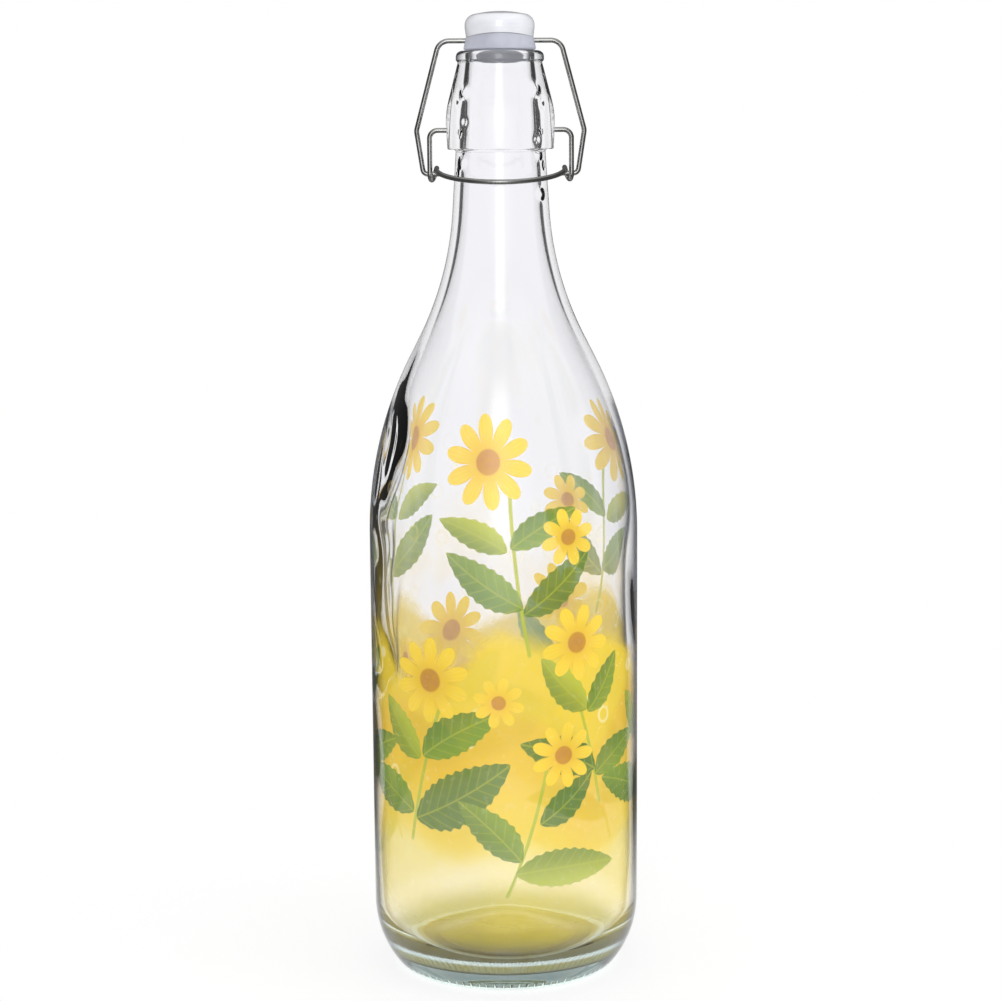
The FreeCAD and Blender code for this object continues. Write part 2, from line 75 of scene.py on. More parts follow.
# The bearing ring's ribs, and the rings of points that are finer to carry them.
RIB_RADII = (30.4, 36.6)
RIB_HEIGHTS = (-1.0, 1.7)
FINER_RADII = (27.0, 38.0)
FINER_TOP = 4.0
# Heights of the wavy inner wall and of its heavy side, and how sharply the heavy side ends.
WAVY_HEIGHTS = (26.0, 200.0)
HEAVY_HEIGHTS = (112.0, 172.0)
HEAVY_POWER = 18
# The printed film: its edges, its smallest radius and its gap to the glass.
FILM_LOW = 8.0
FILM_TOP = 221.0
FILM_RADIUS = 15.0
FILM_GAP = 0.05
# Longest steps along an outline, and how fine the turned meshes are.
GLASS_STEP = 2.5
FILM_STEP = 3.0
DENT_STEP = 0.6
PLAIN_STEP = 10.0
FINER = 3
FILM_SEGMENTS = 200
SOCKET_SEGMENTS = 40
TINY = 1e-6
# Edges sharper than these angles, in degrees, stay sharp.
GLASS_CREASE = 50
FILM_CREASE = 60
STOPPER_CREASE = 35
WIRE_CREASE = 75

# Where one tint, painted shade or finish gives way to the next: heights or radii in metres.
BODY_WALL = (0.035, 0.037)
SHOULDER = (0.180, 0.222)
BASE_TOP = (0.012, 0.016)
HEEL_TOP = (0.004, 0.015)
VALLEY_EDGE = (0.0295, 0.031)
PUSH_UP_EDGE = (0.0228, 0.0238)
UNDERSIDE_TOP = (0.0052, 0.0058)
RIM_BEAD = (0.2972, 0.2982)
FROST_TOP = 0.0024
FROST_RADII = (0.0222, 0.0380)
FROST_OUTER = (0.0328, 0.0348)
FROST_SLOPE = (0.0280, 0.0292)
PLUG_SHADE_TOP = (0.3006, 0.3014)

NOISE_ROUGHNESS = 0.55
GLASS_INDEX = 1.5
GLASS_SHADOW = (0.93, 0.94, 0.94)
WHITE = (1.0, 1.0, 1.0)
BLACK = (0.0, 0.0, 0.0)


def linear(code):
    """A screen colour code as a linear colour."""
    parts = [int(code[i:i + 2], 16) / 255 for i in (1, 3, 5)]
    return tuple(p / 12.92 if p <= 0.04045 else ((p + 0.055) / 1.055) ** 2.4 for p in parts)


def colour_property(name, description, code):
    return FloatVectorProperty(name=name, description=description, subtype="COLOR", size=3,
                               min=0, max=1, default=linear(code))


class BottleGlass(bpy.types.PropertyGroup):
    """Sizes and colours of the glass."""
    segments: IntProperty(name="Segments", description="Faces round the bottle", default=240, min=32)
    uneven: FloatProperty(name="Uneven wall", description="Depth of the inner wall's waves",
                          default=0.0003, unit="LENGTH")
    thick_side: FloatProperty(name="Thick side", description="Extra glass on the bottle's heavier side",
                              default=0.0040, unit="LENGTH")
    knurl_depth: FloatProperty(name="Knurl depth", description="Height of the bearing ring's ribs",
                               default=0.0006, unit="LENGTH")
    knurl_count: IntProperty(name="Knurl count", description="Ribs round the bearing ring", default=90)
    body_tint: colour_property("Glass", "Colour of the clear glass", "#FBFBFD")
    heel_tint: colour_property("Heel", "Colour of the thick glass at the heel", "#728885")
    # Painted shade with a painted olive reflection of the yellow print, round the push-up.
    valley_shade_tint: colour_property("Valley", "Colour of the glass round the push-up", "#524C1E")
    # Painted shade: the rim's bead darkens where it is seen edge on.
    rim_edge_shade: colour_property("Rim", "Colour of the rim's bead", "#434A55")
    # Painted shade and painted reflection of the yellow print: olive glass over the push-up.
    push_up_shade_tint: colour_property("Floor", "Colour of the glass over the push-up", "#6C6920")
    foot_tint: colour_property("Foot", "Colour of the frosted bearing ring", "#CBD8D5")
    # Painted light: olive cast of the yellow print's light on the bearing ring's inner side.
    foot_inner_print_light: colour_property("Inner foot", "Colour of the bearing ring's inner side", "#8F8A4C")
    # Painted shade: dark olive on the slope up to the push-up.
    foot_slope_shade: colour_property("Foot slope", "Colour of the slope up to the push-up", "#5E5830")
    foot_cloud: colour_property("Foot cloud", "Colour of the clouds in the frosted glass", "#93A5A6")
    # Painted glow: strength of the frosted ring's own glow.
    foot_glow: FloatProperty(name="Foot glow", description="Light scattered in the frosted glass",
                             default=0.62)
    # Painted shade: the body's glass darkens where it is seen edge on.
    edge_shade_tint: colour_property("Edge", "Colour of the body's glass where it is seen edge on", "#3C3F49")


class BottlePrint(bpy.types.PropertyGroup):
    """Thickness and colours of the printed film."""
    thickness: FloatProperty(name="Thickness", description="Printed film", default=0.00015,
                             unit="LENGTH")
    # Painted glow: strength of the glow on the film's inner face.
    glow: FloatProperty(name="Glow", description="Light through the far wall's ink", default=0.55)
    wash: colour_property("Wash", "Main yellow wash", "#E2C428")
    deep: colour_property("Deep wash", "Orange yellow of the lower wave", "#DDAE1A")
    pale: colour_property("Pale wash", "Pale wash near the base", "#EFD83C")
    leaf: colour_property("Leaf", "Main green of the leaves", "#74901A")
    leaf_dark: colour_property("Dark leaf", "Deep green of the leaves", "#4B6E14")
    leaf_light: colour_property("Light leaf", "Yellow green of the leaves", "#AAB228")
    petal: colour_property("Petal", "Petals of the blossoms", "#EBCB2E")
    heart: colour_property("Heart", "Hearts of the blossoms", "#B8791A")
    drop: colour_property("Drop", "Rings of the small drops", "#F6F1C8")
    bleach: FloatVectorProperty(name="Bleach", description="Colour of the ink's pale grain", size=3,
                                subtype="COLOR", min=0, max=1, default=(1.0, 1.0, 0.8))


class BottleClosure(bpy.types.PropertyGroup):
    """Colours of the stopper and its wires."""
    cap: colour_property("Cap", "Moulded cap", "#D9DADF")
    cap_shade: colour_property("Cap shade", "Flow marks in the cap", "#D1D2D8")
    seal: colour_property("Seal", "Soft seal", "#B3B5C0")
    seal_shade: colour_property("Seal shade", "Milky clouds in the seal", "#A5A7B4")
    # Painted shade: the seal is darker grey where it sits inside the mouth.
    shaded_plug: colour_property("Plug", "The seal's plug inside the mouth", "#898A90")
    steel: colour_property("Steel", "Drawn steel wire", "#9C9C9A")
    steel_shade: colour_property("Steel shade", "Smudges on the wire", "#7E7E7C")


class BottleStage(bpy.types.PropertyGroup):
    """Floor, light and camera."""
    floor: colour_property("Floor", "Pale floor", "#FAFAFA")
    ambient: FloatProperty(name="Ambient", description="Strength of the even light all round",
                           default=0.95)
    key_power: FloatProperty(name="Key power", description="Power of the key softbox", default=3.2,
                             unit="POWER")
    side_share: FloatProperty(name="Side share", description="Side softbox's power against the key's",
                              default=0.8, subtype="FACTOR")
    flag_share: FloatProperty(name="Flags", description="How dark the flags look through the glass",
                              default=0.95, subtype="FACTOR")
    card_share: FloatProperty(name="Cards", description="How dark the cards look when mirrored",
                              default=0.86, subtype="FACTOR")
    strip_gain: FloatProperty(name="Strip", description="How bright the strip looks when mirrored",
                              default=3.6)
    shadow_fill: FloatProperty(name="Shadow fill", description="How far the shadow is lightened",
                               default=0.78, subtype="FACTOR")
    floor_half: FloatProperty(name="Half floor", description="Half the floor's width", default=0.5,
                              unit="LENGTH")
    camera_distance: FloatProperty(name="Camera distance", description="From the bottle's axis",
                                   default=0.770, unit="LENGTH")
    camera_side: FloatProperty(name="Camera side", description="Sideways from the bottle's axis",
                               default=-0.0009, unit="LENGTH")
    camera_height: FloatProperty(name="Camera height", description="Above the table", default=0.276,
                                 unit="LENGTH")
    camera_pitch: FloatProperty(name="Camera pitch", description="Downward tilt",
                                default=math.radians(8.8865), subtype="ANGLE")
    camera_roll: FloatProperty(name="Camera roll", description="Turn about the line of sight",
                               default=math.radians(-0.45), subtype="ANGLE")
    lens: FloatProperty(name="Lens", description="Focal length in millimetres", default=85.23)


class Recipe:
    """A node tree that is put together from Python expressions."""

    def __init__(self, tree):
        self.tree = tree
        tree.nodes.clear()

    def node(self, kind, settings=None, sockets=None):
        """One node: its settings first, then the values or links of its sockets."""
        made = self.tree.nodes.new(kind)
        for name, setting in (settings or {}).items():
            setattr(made, name, setting)
        for name, term in (sockets or {}).items():
            self.feed(made.inputs[name], term)
        return made

    def feed(self, socket, term):
        if isinstance(term, Value):
            term = term.socket
        if isinstance(term, bpy.types.NodeSocket):
            self.tree.links.new(term, socket)
        elif isinstance(term, tuple) and len(term) == 3 and socket.type == "RGBA":
            socket.default_value = (*term, 1)
        else:
            socket.default_value = term

    def value(self, kind, settings=None, sockets=None, output=0):
        return Value(self, self.node(kind, settings, sockets).outputs[output])

    def mix(self, factor, first, second):
        """A colour between two colours, each a link or a colour property."""
        first, second = (term if isinstance(term, bpy.types.NodeSocket) else tuple(term)
                         for term in (first, second))
        made = self.node("ShaderNodeMix", {"data_type": "RGBA"}, {0: factor, 6: first, 7: second})
        return made.outputs[2]

    def blend(self, factor, first, second):
        """A shader between two shaders."""
        return self.node("ShaderNodeMixShader", None, {0: factor, 1: first, 2: second}).outputs[0]

    def parts(self, vector):
        """The x, y and z of a vector."""
        split = self.node("ShaderNodeSeparateXYZ", None, {0: vector})
        return [Value(self, part) for part in split.outputs]

    def place(self):
        """The surface point, and its x, y and z, in metres."""
        point = self.node("ShaderNodeTexCoord").outputs["Object"]
        return point, self.parts(point)

    def edge_on(self):
        """0 where a face is seen square on, and 1 where it is seen edge on."""
        return self.value("ShaderNodeLayerWeight", None, {"Blend": 0.5}, "Facing")

    def rays(self, *names):
        """Facts about the ray that meets the surface."""
        path = self.node("ShaderNodeLightPath").outputs
        return [Value(self, path[name]) for name in names]

    def noise(self, point, scale, detail):
        sockets = {"Vector": point, "Scale": scale, "Detail": detail, "Roughness": NOISE_ROUGHNESS}
        return self.value("ShaderNodeTexNoise", None, sockets)

    def stretched(self, point, scale):
        made = self.node("ShaderNodeVectorMath", {"operation": "MULTIPLY"}, {0: point, 1: scale})
        return made.outputs[0]

    def bump(self, height, distance, strength):
        sockets = {"Height": height, "Distance": distance, "Strength": strength}
        return self.node("ShaderNodeBump", None, sockets).outputs[0]

    def principled(self, sockets):
        return self.node("ShaderNodeBsdfPrincipled", None, sockets).outputs[0]

    def surface(self, shader):
        self.node("ShaderNodeOutputMaterial", None, {"Surface": shader})


class Value:
    """A number that varies over a surface: arithmetic on it adds Math nodes."""

    def __init__(self, recipe, socket):
        self.recipe = recipe
        self.socket = socket

    def math(self, operation, *terms):
        return self.recipe.value("ShaderNodeMath", {"operation": operation}, dict(enumerate(terms)))

    def __add__(self, other):
        return self.math("ADD", self, other)

    def __sub__(self, other):
        return self.math("SUBTRACT", self, other)

    def __rsub__(self, other):
        return self.math("SUBTRACT", other, self)

    def __mul__(self, other):
        return self.math("MULTIPLY", self, other)

    def __truediv__(self, other):
        return self.math("DIVIDE", self, other)

    def __pow__(self, other):
        return self.math("POWER", self, other)

    def __mod__(self, other):
        return self.math("FLOORED_MODULO", self, other)

    def __neg__(self):
        return self.math("MULTIPLY", self, -1.0)

    def __abs__(self):
        return self.math("ABSOLUTE", self)

    __radd__ = __add__
    __rmul__ = __mul__

    def sine(self):
        return self.math("SINE", self)

    def cosine(self):
        return self.math("COSINE", self)

    def root(self):
        return self.math("SQRT", self)

    def turn_from(self, other):
        return self.math("ARCTAN2", self, other)

    def larger(self, other):
        return self.math("MAXIMUM", self, other)

    def smaller(self, other):
        return self.math("MINIMUM", self, other)

    def rise(self, low, high):
        """0 below low, 1 above high and smooth between them."""
        sockets = {"Value": self, "From Min": low, "From Max": high}
        return self.recipe.value("ShaderNodeMapRange", {"interpolation_type": "SMOOTHSTEP"}, sockets)


def new_finish(name):
    """A material with an empty recipe."""
    finish = bpy.data.materials.new(name)
    finish.use_nodes = True
    return finish, Recipe(finish.node_tree)


def add_piece(name, mesh):
    piece = bpy.data.objects.new(name, mesh)
    bpy.context.scene.collection.objects.link(piece)
    return piece


def rounded(corners, longest, turn_step=math.radians(4)):
    """Points along an outline of straight runs with rounded corners."""
    places = [Vector(corner[:2]) for corner in corners]
    points = [places[0]]
    for i in range(1, len(places)):
        here = places[i]
        radius = corners[i][2]
        if radius and i + 1 < len(places):
            back = (places[i - 1] - here).normalized()
            ahead = (places[i + 1] - here).normalized()
            half = back.angle(ahead) / 2
            reach = radius / math.tan(half)
            centre = here + (back + ahead).normalized() * (radius / math.sin(half))
            start, end = here + back * reach, here + ahead * reach
            run_to(points, start, longest)
            sweep = math.pi - 2 * half
            steps = max(2, math.ceil(sweep / turn_step), math.ceil(radius * sweep / longest))
            arm = start - centre
            sign = 1 if arm.cross(end - centre) > 0 else -1
            for step in range(1, steps + 1):
                angle = sign * sweep * step / steps
                points.append(centre + Matrix.Rotation(angle, 2) @ arm)
        else:
            run_to(points, here, longest)
    return points


def run_to(points, end, longest):
    """Add a straight run to an outline, in steps no longer than longest."""
    start = points[-1]
    steps = max(1, math.ceil((end - start).length / longest))
    points.extend(start.lerp(end, step / steps) for step in range(1, steps + 1))


def lathe(name, outline, segments, warp=None, finer=None):
    """Turn an outline of radius and height, in millimetres, about the bottle's axis."""
    vertices, rings = [], []
    for index, point in enumerate(outline):
        if point.x < TINY:
            rings.append([len(vertices)])
            vertices.append((0, 0, point.y * MM))
            continue
        count = segments * FINER if finer and finer(point) else segments
        angles = np.arange(count) * 2 * math.pi / count
        radius = np.full(count, point.x)
        height = np.full(count, point.y)
        if warp:
            radius, height = warp(index, radius, height, angles)
        rings.append(list(range(len(vertices), len(vertices) + count)))
        vertices.extend(zip(radius * np.sin(angles) * MM, -radius * np.cos(angles) * MM, height * MM))
    faces = []
    for low, high in zip(rings, rings[1:]):
        faces.extend(band_faces(low, high))
    return finish_mesh(name, vertices, faces)


def band_faces(low, high):
    """Faces between two rings, where either may be a single point or have finer steps."""
    if len(low) < len(high):
        return [face[::-1] for face in band_faces(high, low)]
    count = len(low)
    if len(high) == 1:
        return [(low[i], low[(i + 1) % count], high[0]) for i in range(count)]
    ratio = count // len(high)
    faces = []
    for i, corner in enumerate(high):
        after = high[(i + 1) % len(high)]
        steps = [low[(i * ratio + step) % count] for step in range(ratio + 1)]
        middle = ratio // 2
        for step in range(ratio):
            if step < middle:
                faces.append((steps[step], steps[step + 1], corner))
            elif step > middle:
                faces.append((steps[step], steps[step + 1], after))
            else:
                faces.append((steps[step], steps[step + 1], after, corner))
    return faces


def finish_mesh(name, vertices, faces):
    mesh = bpy.data.meshes.new(name)
    mesh.from_pydata([tuple(map(float, vertex)) for vertex in vertices], [], faces)
    shape = bmesh.new()
    shape.from_mesh(mesh)
    bmesh.ops.recalc_face_normals(shape, faces=shape.faces)
    shape.to_mesh(mesh)
    shape.free()
    mesh.shade_smooth()
    return mesh


def window(term, low, high, soft):
    """1 between low and high, falling smoothly to 0 over soft on either side."""
    up = np.clip((term - low) / soft + 1, 0, 1)
    down = np.clip((high - term) / soft + 1, 0, 1)
    share = np.minimum(up, down)
    return share * share * (3 - 2 * share)


def neck_marks(radius, height, angles):
    """Depth of the small dents in the neck's inner wall."""
    depth = np.zeros_like(radius)
    for turn, level, size, deep in NECK_MARKS:
        aside = np.angle(np.exp(1j * (angles - math.radians(turn)))) * radius
        depth += deep * np.exp(-(aside ** 2 + (height - level) ** 2) / size ** 2)
    return depth


def glass_warp(props, outside_count):
    """Ribs on the bearing ring, the waves of a blown inner wall and the neck's dents."""
    def warp(index, radius, height, angles):
        if index < outside_count:
            ring = window(radius, *RIB_RADII, 0.8) * window(height, *RIB_HEIGHTS, 0.9)
            ribs = 0.5 + 0.5 * np.cos(angles * props.knurl_count)
            depth = ring * ribs * props.knurl_depth / MM
            return radius - depth * 0.5, height + depth
        wall = window(height, *WAVY_HEIGHTS, 22)
        waves = (np.sin(3 * angles + height / 31) + 0.7 * np.sin(5 * angles - height / 17 + 1.3)
                 + 0.45 * np.sin(9 * angles + height / 9.5 + 0.4))
        side = np.cos(angles + math.pi / 2 + 0.12 * np.sin(height / 17) + 0.05 * np.sin(height / 6))
        ragged = (0.70 + 0.20 * np.sin(height / 13) + 0.16 * np.sin(height / 5.3 + 1)
                  + 0.12 * np.sin(height / 3.1) + 0.10 * np.sin(22 * angles + height / 6))
        heavy = np.clip(side, 0, 1) ** HEAVY_POWER * ragged * window(height, *HEAVY_HEIGHTS, 24)
        moved = waves / 2.15 * props.uneven / MM + heavy * props.thick_side / MM
        return radius - wall * moved + neck_marks(radius, height, angles), height
    return warp


def finer_neck(outline):
    """Closer points along the part of the neck that has dents."""
    points = outline[:1]
    for end in outline[1:]:
        dented = DENTED_HEIGHTS[0] < end.y < DENTED_HEIGHTS[1] and end.x < DENTED_RADIUS
        run_to(points, end, DENT_STEP if dented else PLAIN_STEP)
    return points


def on_bearing_ring(point):
    return point.y < FINER_TOP and FINER_RADII[0] < point.x < FINER_RADII[1]


def drill_sockets(piece):
    """Cut the two blind pivot sockets into the finish."""
    for side in (1, -1):
        outline = [Vector((0.0, SOCKET_OUTLINE[0][0]))]
        outline += [Vector((radius, along)) for along, radius in SOCKET_OUTLINE]
        outline.append(Vector((0.0, SOCKET_OUTLINE[-1][0])))
        mesh = lathe("socket_cutter", outline, SOCKET_SEGMENTS)
        mesh.transform(Matrix.Translation((0, 0, SOCKET_HEIGHT * MM))
                       @ Matrix.Rotation(side * math.pi / 2, 4, "Y"))
        cutter = add_piece("socket_cutter", mesh)
        cut = piece.modifiers.new("socket", "BOOLEAN")
        cut.operation = "DIFFERENCE"
        cut.solver = "EXACT"
        cut.object = cutter
        apply_modifiers(piece)
        bpy.data.objects.remove(cutter)


def apply_modifiers(piece):
    bpy.context.view_layer.update()
    graph = bpy.context.evaluated_depsgraph_get()
    mesh = bpy.data.meshes.new_from_object(piece.evaluated_get(graph))
    piece.modifiers.clear()
    piece.data = mesh


def clear_glass(props):
    """Clear glass with painted shade where it is seen edge on and on the rim's bead, blue grey at the
    heel, and olive painted shade and painted reflection of the yellow print round and over the push-up.
    """
    finish, recipe = new_finish("clear_glass")
    point, (x, y, z) = recipe.place()
    away = (x * x + y * y).root()
    edge_on = recipe.edge_on()
    streak = recipe.noise(recipe.stretched(point, (1, 1, 0.3)), 45.0, 3.0)
    body = away.rise(*BODY_WALL) * (1 - z.rise(*SHOULDER))
    # Painted shade: the body's glass darkens where it is seen edge on, with a ragged streak.
    edge = (edge_on + (streak - 0.5) * 0.12).rise(0.60, 0.82) * body
    base = 1 - z.rise(*BASE_TOP)
    outward = away.rise(*VALLEY_EDGE)
    heel = (1 - z.rise(*HEEL_TOP)) * outward
    underside = 1 - z.rise(*UNDERSIDE_TOP)
    # Painted shade with a painted olive reflection of the yellow print, round the push-up.
    valley_shade = base * (1 - outward) * (1 - underside * 0.8)
    # Painted shade and painted reflection of the yellow print over the push-up.
    push_up_shade = base * (1 - away.rise(*PUSH_UP_EDGE))
    # Painted shade: the rim's bead darkens where it is seen edge on.
    rim = z.rise(*RIM_BEAD) * edge_on.rise(0.3, 0.75)
    tint = recipe.mix(heel, props.body_tint, props.heel_tint)
    tint = recipe.mix(valley_shade, tint, props.valley_shade_tint)
    tint = recipe.mix(push_up_shade, tint, props.push_up_shade_tint)
    tint = recipe.mix(rim, tint, props.rim_edge_shade)
    tint = recipe.mix(edge, tint, props.edge_shade_tint)
    ripple = recipe.noise(recipe.stretched(point, (1, 1, 0.4)), 26.0, 0.0)
    glass = recipe.principled({
        "Base Color": tint, "Roughness": 0.0, "IOR": GLASS_INDEX, "Transmission Weight": 1.0,
        "Normal": recipe.bump(ripple, 0.00025, 0.2),
    })
    to_lamp, = recipe.rays("Is Shadow Ray")
    clear = recipe.node("ShaderNodeBsdfTransparent", None, {"Color": GLASS_SHADOW}).outputs[0]
    recipe.surface(recipe.blend(to_lamp, glass, clear))
    return finish


def frosted_foot(props):
    """Stippled glass of the bearing ring and of the slope inside it, with painted light: a glow for
    light scattered in the frosted glass, an olive cast of the print's light on the ring's inner side,
    and painted shade on the slope.
    """
    finish, recipe = new_finish("frosted_foot")
    point, (x, y, _) = recipe.place()
    away = (x * x + y * y).root()
    outer = away.rise(*FROST_OUTER)
    slope = 1 - away.rise(*FROST_SLOPE)
    stipple = recipe.noise(point, 900.0, 3.0)
    cloud = recipe.noise(point, 120.0, 2.0)
    # Painted light: olive cast of the print's light on the ring's inner side.
    ring = recipe.mix(outer, props.foot_inner_print_light, props.foot_tint)
    # Painted shade: dark olive on the slope up to the push-up.
    ring = recipe.mix(slope, ring, props.foot_slope_shade)
    recipe.surface(recipe.principled({
        "Base Color": recipe.mix(cloud.rise(0.3, 0.7) * 0.5, ring, props.foot_cloud),
        "Roughness": 0.42 + stipple * 0.2, "IOR": GLASS_INDEX, "Transmission Weight": 0.3,
        # Painted glow: the ring glows in its colours, standing in for light scattered in the frosted
        # glass.
        "Emission Color": ring, "Emission Strength": props.foot_glow,
        "Normal": recipe.bump(stipple, 0.00008, 0.6),
    }))
    return finish


class BOTTLE_OT_glass(bpy.types.Operator):
    """Make the glass bottle with its ribbed base, uneven wall and pivot sockets"""
    bl_idname = "bottle.glass"
    bl_label = "Glass bottle"

    def execute(self, context):
        props = context.scene.bottle_glass
        outside = rounded(GLASS_OUTSIDE + [GLASS_INSIDE[0]], GLASS_STEP)
        inside = finer_neck(rounded([GLASS_OUTSIDE[-1]] + GLASS_INSIDE, GLASS_STEP))
        rim = next(i for i, point in enumerate(inside) if abs(point.x - GLASS_INSIDE[0][0]) < TINY)
        outline = outside + inside[rim + 1:]
        warp = glass_warp(props, len(outside))
        mesh = lathe("glass_body", outline, props.segments, warp, on_bearing_ring)
        piece = add_piece("glass_body", mesh)
        drill_sockets(piece)
        piece.data.shade_smooth()
        piece.data.set_sharp_from_angle(angle=math.radians(GLASS_CREASE))
        piece.data.materials.clear()
        piece.data.materials.append(clear_glass(props))
        piece.data.materials.append(frosted_foot(props))
        for face in piece.data.polygons:
            x, y, z = face.center
            away = math.hypot(x, y)
            face.material_index = int(z < FROST_TOP and FROST_RADII[0] < away < FROST_RADII[1])
        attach(piece, "bottle")
        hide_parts("glass_bottle")
        return {"FINISHED"}


# Heights in millimetres between which the film and its inks come and go.
FADE_IN = (FILM_LOW + 5, FILM_LOW + 14)
FADE_OUT = (FILM_TOP - 8, FILM_TOP)
WASH_TOP = (108, 116)
BAND_LOW = (50, 76)
BAND_TOP = (86, 94)
PALE_TOP = (44, 54)
FOOT_TOP = (15, 32)
MIST_TOP = (116, 170)
DROPS_LOW = (60, 72)
DROPS_TOP = (150, 190)
DROP_SCALE = 95.0

# The print repeats this often round the body.
REPEATS = 3
REPEAT_WIDTH = 2 * math.pi * BODY_RADIUS / REPEATS
WAVE = 2 * math.pi / REPEAT_WIDTH

# Stems: place across and up, direction in degrees, length, half width and bend.
STEMS = [(8, 112, 101, 58, 0.75, -5), (33, 62, 100, 52, 0.7, 5), (-33, 50, 80, 50, 0.75, -4),
         (0, 34, 66, 44, 0.7, 5)]
# Leaves: place across and up, direction in degrees, length, half width, bend, and shade.
LEAVES = [
    (6, 128, 152, 30, 6.0, -4, "leaf"), (6, 126, 32, 30, 5.6, 5, "leaf_dark"),
    (1, 146, 146, 24, 4.8, 4, "leaf_light"), (2, 147, 38, 25, 5.0, -4, "leaf"),
    (31, 74, 148, 28, 6.4, 5, "leaf_dark"), (31, 72, 36, 24, 5.6, -4, "leaf"),
    (28, 94, 142, 24, 5.4, -4, "leaf_light"), (28, 93, 44, 22, 4.8, 4, "leaf"),
    (-32, 60, 150, 28, 6.8, 4, "leaf"), (-31, 58, 24, 38, 8.6, 5, "leaf_dark"),
    (-29, 78, 140, 24, 5.6, -4, "leaf_light"), (-28, 79, 40, 30, 6.6, -5, "leaf"),
    (3, 42, 8, 36, 6.4, -5, "leaf_light"), (5, 46, 128, 28, 6.0, 4, "leaf"),
    (11, 58, 30, 24, 5.2, 4, "leaf_dark"),
]
# Blossoms: place across and up, radius, petals, and a turn in radians.
BLOSSOMS = [(-5, 174, 15.0, 10, 0.2), (21, 150, 9.5, 8, 0.5), (24, 116, 12.5, 9, 0.1),
            (-25, 104, 14.0, 10, 0.35), (19, 80, 11.0, 9, 0.0), (-2, 98, 8.5, 8, 0.25)]


def wrap(distance):
    """A distance across the print, taken to the nearest repeat."""
    return (distance + REPEAT_WIDTH / 2) % REPEAT_WIDTH - REPEAT_WIDTH / 2


def along_blade(across, up, blade):
    """Share of the way along a curved blade, free and held on it, and the distance aside."""
    left, low, degrees, length, _, bend = blade[:6]
    way = math.radians(degrees)
    dx, dy = wrap(across - left), up - low
    along = (dx * math.cos(way) + dy * math.sin(way)) / length
    inside = along.larger(0.0).smaller(1.0)
    aside = dy * math.cos(way) - dx * math.sin(way) - bend * inside * inside
    return along, inside, aside


def draw_stem(across, up, stem):
    """Mask of one thin stem."""
    along, _, aside = along_blade(across, up, stem)
    ends = along.rise(0.0, 0.02) * (1 - along.rise(0.98, 1.0))
    return (stem[4] - abs(aside)).rise(0.0, 0.35) * ends


def draw_leaf(across, up, leaf):
    """Mask, veins and cross shading of one leaf with a toothed edge."""
    _, inside, aside = along_blade(across, up, leaf)
    length, half_width = leaf[3], leaf[4]
    teeth = 1 + (inside * (length * 1.9)).sine() * 0.05
    width = (inside * (1 - inside) * 4) ** 0.75 * (1.2 - 0.45 * inside) * half_width * teeth
    mask = (width - abs(aside)).rise(0.0, 0.35)
    rib = 1 - abs(aside).rise(0.12, 0.45)
    veins = ((inside * length - abs(aside) * 0.9) * 1.6).sine().rise(0.75, 1.0)
    return mask, rib.larger(veins * 0.5), aside / half_width


def draw_blossom(across, up, blossom):
    """Masks of one blossom's petals, its heart and its petal shading."""
    left, low, radius, petals, turned = blossom
    dx, dy = wrap(across - left), up - low
    away = (dx * dx + dy * dy).root()
    turn = dy.turn_from(dx)
    lobes = abs(((turn + turned) * (petals / 2)).cosine())
    edge = (lobes ** 0.55 * 0.62 + 0.38) * radius
    mask = (edge - away).rise(0.0, 0.35)
    heart = 1 - away.rise(radius * 0.24, radius * 0.3)
    crease = 1 - lobes.rise(0.1, 0.75)
    streaks = (turn * (petals * 5)).sine() * 0.12 + 0.12
    throat = 1 - away.rise(radius * 0.2, radius * 0.75)
    shade = (crease * away.rise(radius * 0.25, radius * 0.6)).larger(throat)
    return mask, heart, shade * 0.8 + streaks


def ink_film(props):
    """Thin covering inks: a rolling yellow wash under flowering stems, pale towards the base, with a
    painted glow on the film's inner face for light through the far wall's ink.
    """
    finish, recipe = new_finish("print_ink")
    point, (x, y, z) = recipe.place()
    across = x.turn_from(-y) * BODY_RADIUS
    up = z / MM
    cloud = recipe.noise(point, 24.0, 5.0)
    grain = recipe.noise(point, 420.0, 2.0)
    colour, cover = wash_inks(recipe, props, point, across, up, cloud)
    for stem in STEMS:
        mask = draw_stem(across, up, stem)
        colour = recipe.mix(mask, colour, props.leaf_light)
        cover = cover.larger(mask * 0.85)
    for leaf in LEAVES:
        mask, vein, side = draw_leaf(across, up, leaf)
        shade = recipe.mix(side.rise(-0.9, 0.9) * 0.7, getattr(props, leaf[-1]), props.leaf_dark)
        shade = recipe.mix(vein * 0.5 + (cloud - 0.5) * 0.6, shade, props.leaf_light)
        colour = recipe.mix(mask, colour, shade)
        cover = cover.larger(mask * (0.74 + cloud * 0.22))
    for blossom in BLOSSOMS:
        mask, heart, crease = draw_blossom(across, up, blossom)
        petal = recipe.mix(crease * 0.8 + grain * 0.15, props.petal, props.deep)
        petal = recipe.mix(heart * (0.65 + grain * 0.5), petal, props.heart)
        colour = recipe.mix(mask, colour, petal)
        cover = cover.larger(mask * 0.88)
    facing = 1 - recipe.value("ShaderNodeNewGeometry", None, None, "Backfacing")
    facing = facing * (1 - recipe.edge_on().rise(0.54, 0.80) * 0.95)
    edge = up.rise(*FADE_IN) * (1 - up.rise(*FADE_OUT))
    nx, ny, _ = recipe.parts(recipe.node("ShaderNodeNewGeometry").outputs["True Normal"])
    inner = (-(x * nx + y * ny)).rise(0.0, 0.002)
    recipe.surface(recipe.principled({
        "Base Color": recipe.mix(grain * 0.06, colour, props.bleach),
        # Painted glow: the film's inner face glows in the ink's colour, standing in for light through
        # the far wall's ink.
        "Emission Color": recipe.mix(inner, BLACK, colour), "Emission Strength": props.glow,
        "Roughness": 0.18 + grain * 0.14, "IOR": 1.45, "Alpha": cover * edge * facing,
        "Normal": recipe.bump(grain, 0.00002, 0.3),
    }))
    return finish


